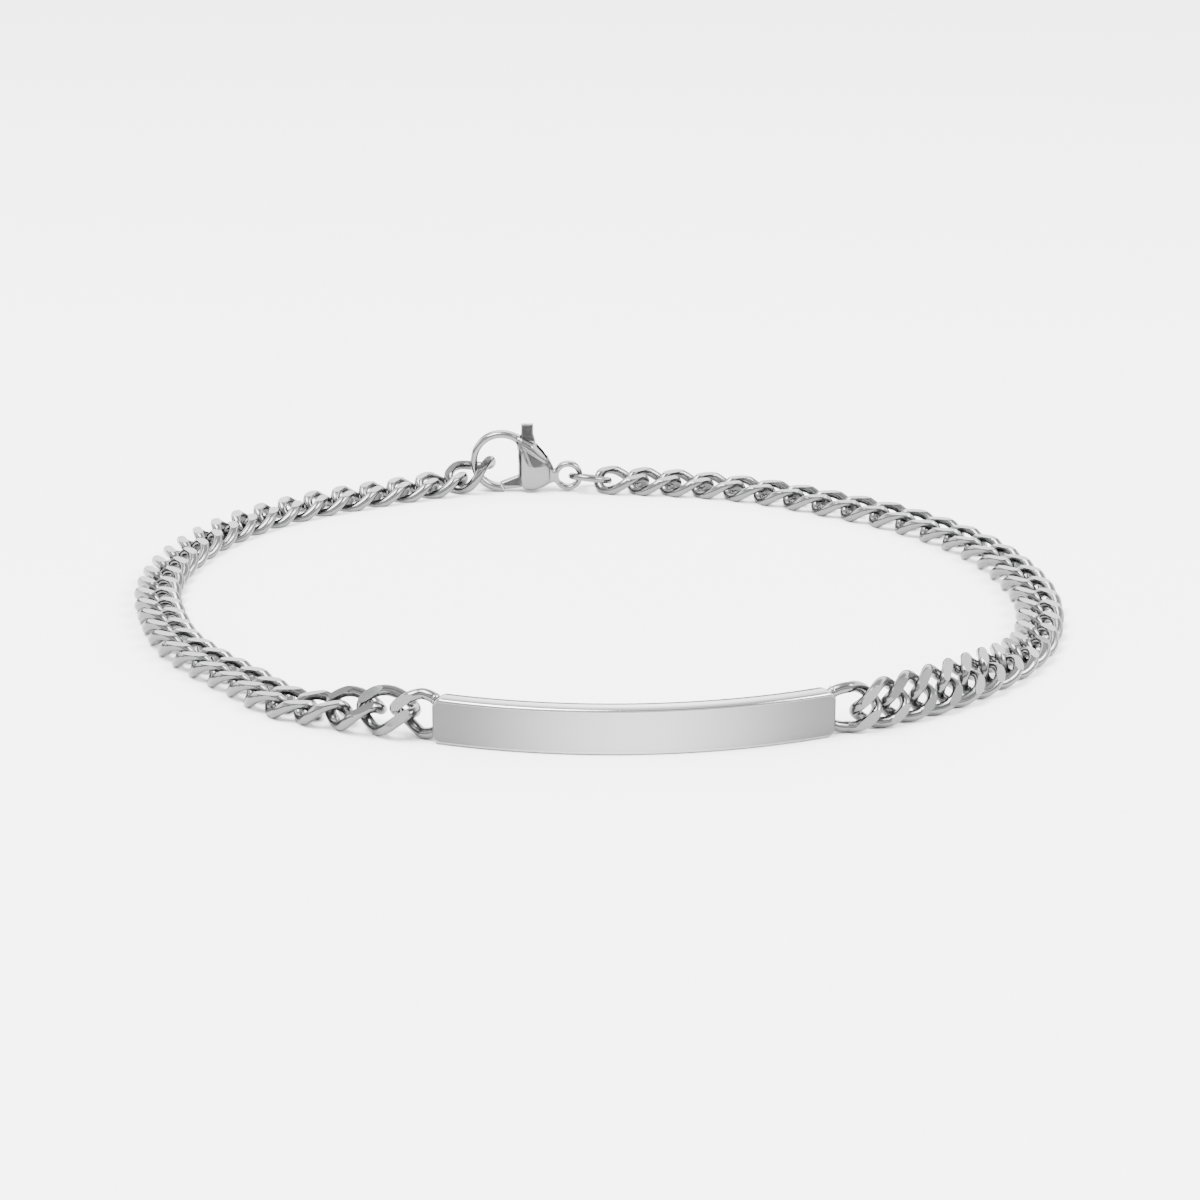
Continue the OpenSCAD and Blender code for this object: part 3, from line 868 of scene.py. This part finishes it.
def lever_field(x, y, z):
    tab = [[TAB_RIGHT + TAB_FLARE_W, TAB_FOOT], [TAB_RIGHT, TAB_FOOT + TAB_FLARE_H],
           [TAB_RIGHT, TAB_TOP], [TAB_LEFT, TAB_TOP], [TAB_LEFT, TAB_FOOT]]
    outline = polygon_at(x, z, list(GATE_TIP) + list(GATE) + tab + list(GATE_BACK))
    flat = np.minimum(outline, circle_at(x, z, PIVOT, HUB_R))
    gate_loss = GATE_TAPER * np.clip(z - GATE_TAPER_FROM, 0, GATE_TAPER_RISE) * (z < GATE_TOP)
    tab_loss = TAB_TAPER * np.clip(z - TAB_TAPER_FROM, 0, TAB_TAPER_RISE)
    return thick(flat, y, LEVER_W / 2 - gate_loss - tab_loss, LEVER_SOFT)


def clasp_piece(name, field, box, step, node, body):
    points, faces = surface(field, *box, step)
    make_piece(name, points + np.append(CLASP_PLACE, 0), faces, clasp_steel, node, body,
               smooth_angle=50)


clasp_piece("clasp_casting", clasp_body_field, BODY_BOX, GRID_STEP, "clasp_body", "bracelet")
clasp_piece("lever_casting", lever_field, LEVER_BOX, LEVER_STEP, "clasp_lever", "lever")
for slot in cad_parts["clasp_pin"].material_slots:
    slot.material = clasp_steel


# Floor, light and camera, in metres

FLOOR_HALF = 3
FLOOR_TONES = [0.9, 0.92]
FLOOR_NOISE_SCALE = 6
FLOOR_ROUGH = 0.9
# Light from the sky by height, as pairs of a place from 0 at the horizon and a strength
SKY_BY_HEIGHT = [(0, 0.02), (0.17, 0.03), (0.26, 1), (0.5, 0.9), (0.6, 0.25), (1, 0.3)]
# Between these two directions along Y the sky falls from full behind the bracelet to a
# share of it in front
SKY_FULL_FROM, SKY_DIM_FROM, SKY_DIM = 0.2, -0.5, 0.4
SKY_STRENGTH = 8
CAMERA_SENSOR = 36
CAMERA_LENS = 104.4
CAMERA_DISTANCE = 0.245
CAMERA_DOWN = 18
CAMERA_TARGET = Vector((0.0003, 0.0009, 0))
CAMERA_CLIP = 0.01


def floor():
    material = bpy.data.materials.new("pale_floor")
    material.use_nodes = True
    tree = material.node_tree
    noise = add_node(tree, "TexNoise", [("Scale", FLOOR_NOISE_SCALE)]).outputs["Fac"]
    low, high = [(tone, tone, tone, 1) for tone in FLOOR_TONES]
    tone = add_node(tree, "Mix", [("A", low), ("B", high), ("Factor", noise)], data_type="RGBA")
    shader = tree.nodes["Principled BSDF"]
    feed(tree, shader.inputs["Base Color"], tone.outputs["Result"])
    feed(tree, shader.inputs["Roughness"], FLOOR_ROUGH)
    mesh = bpy.data.meshes.new("floor")
    corners = [(x * FLOOR_HALF, y * FLOOR_HALF, 0) for x, y in ((-1, -1), (1, -1), (1, 1), (-1, 1))]
    mesh.from_pydata(corners, [], [(0, 1, 2, 3)])
    mesh.materials.append(material)
    new_object("floor", mesh)


def area_light(name, place, size, power):
    """A soft light that looks at the middle of the bracelet."""
    data = bpy.data.lights.new(name, "AREA")
    data.shape = "RECTANGLE"
    data.size, data.size_y = size
    data.energy = power
    obj = new_object(name, data)
    obj.location = place
    obj.rotation_euler = (-Vector(place)).to_track_quat("-Z", "Y").to_euler()


def ramp(tree, stops):
    node = add_node(tree, "ValToRGB")
    elements = node.color_ramp.elements
    while len(elements) < len(stops):
        elements.new(0.5)
    for element, (place, value) in zip(elements, stops):
        element.position = place
        element.color = (value, value, value, 1)
    return node


def studio():
    """Soft studio: a dark line at the horizon, pale walls, and less light from the front."""
    world = bpy.data.worlds.new("studio")
    world.use_nodes = True
    tree = world.node_tree
    where = add_node(tree, "TexCoord").outputs["Generated"]
    split = add_node(tree, "SeparateXYZ", [("Vector", where)])
    height = ramp(tree, SKY_BY_HEIGHT)
    feed(tree, height.inputs["Fac"], split.outputs["Z"])
    front = add_node(tree, "MapRange",
                     [("Value", split.outputs["Y"]), ("From Min", SKY_FULL_FROM),
                      ("From Max", SKY_DIM_FROM), ("To Min", 1), ("To Max", SKY_DIM)],
                     interpolation_type="SMOOTHSTEP")
    sky = add_node(tree, "Math", [(0, height.outputs["Color"]), (1, front.outputs["Result"])],
                   operation="MULTIPLY")
    background = tree.nodes["Background"]
    feed(tree, background.inputs["Color"], sky.outputs["Value"])
    feed(tree, background.inputs["Strength"], SKY_STRENGTH)
    bpy.context.scene.world = world


def camera():
    data = bpy.data.cameras.new("camera")
    data.sensor_width = CAMERA_SENSOR
    data.lens = CAMERA_LENS
    data.clip_start = CAMERA_CLIP
    obj = new_object("camera", data)
    forward = Vector((0, cos(CAMERA_DOWN), -sin(CAMERA_DOWN)))
    obj.location = CAMERA_TARGET - forward * CAMERA_DISTANCE
    obj.rotation_euler = forward.to_track_quat("-Z", "Y").to_euler()
    bpy.context.scene.camera = obj


floor()
studio()
area_light("key_light", place=(-0.2, -0.1, 0.55), size=(0.4, 0.3), power=13)
area_light("fill_light", place=(0.4, -0.15, 0.4), size=(0.25, 0.25), power=7)
camera()
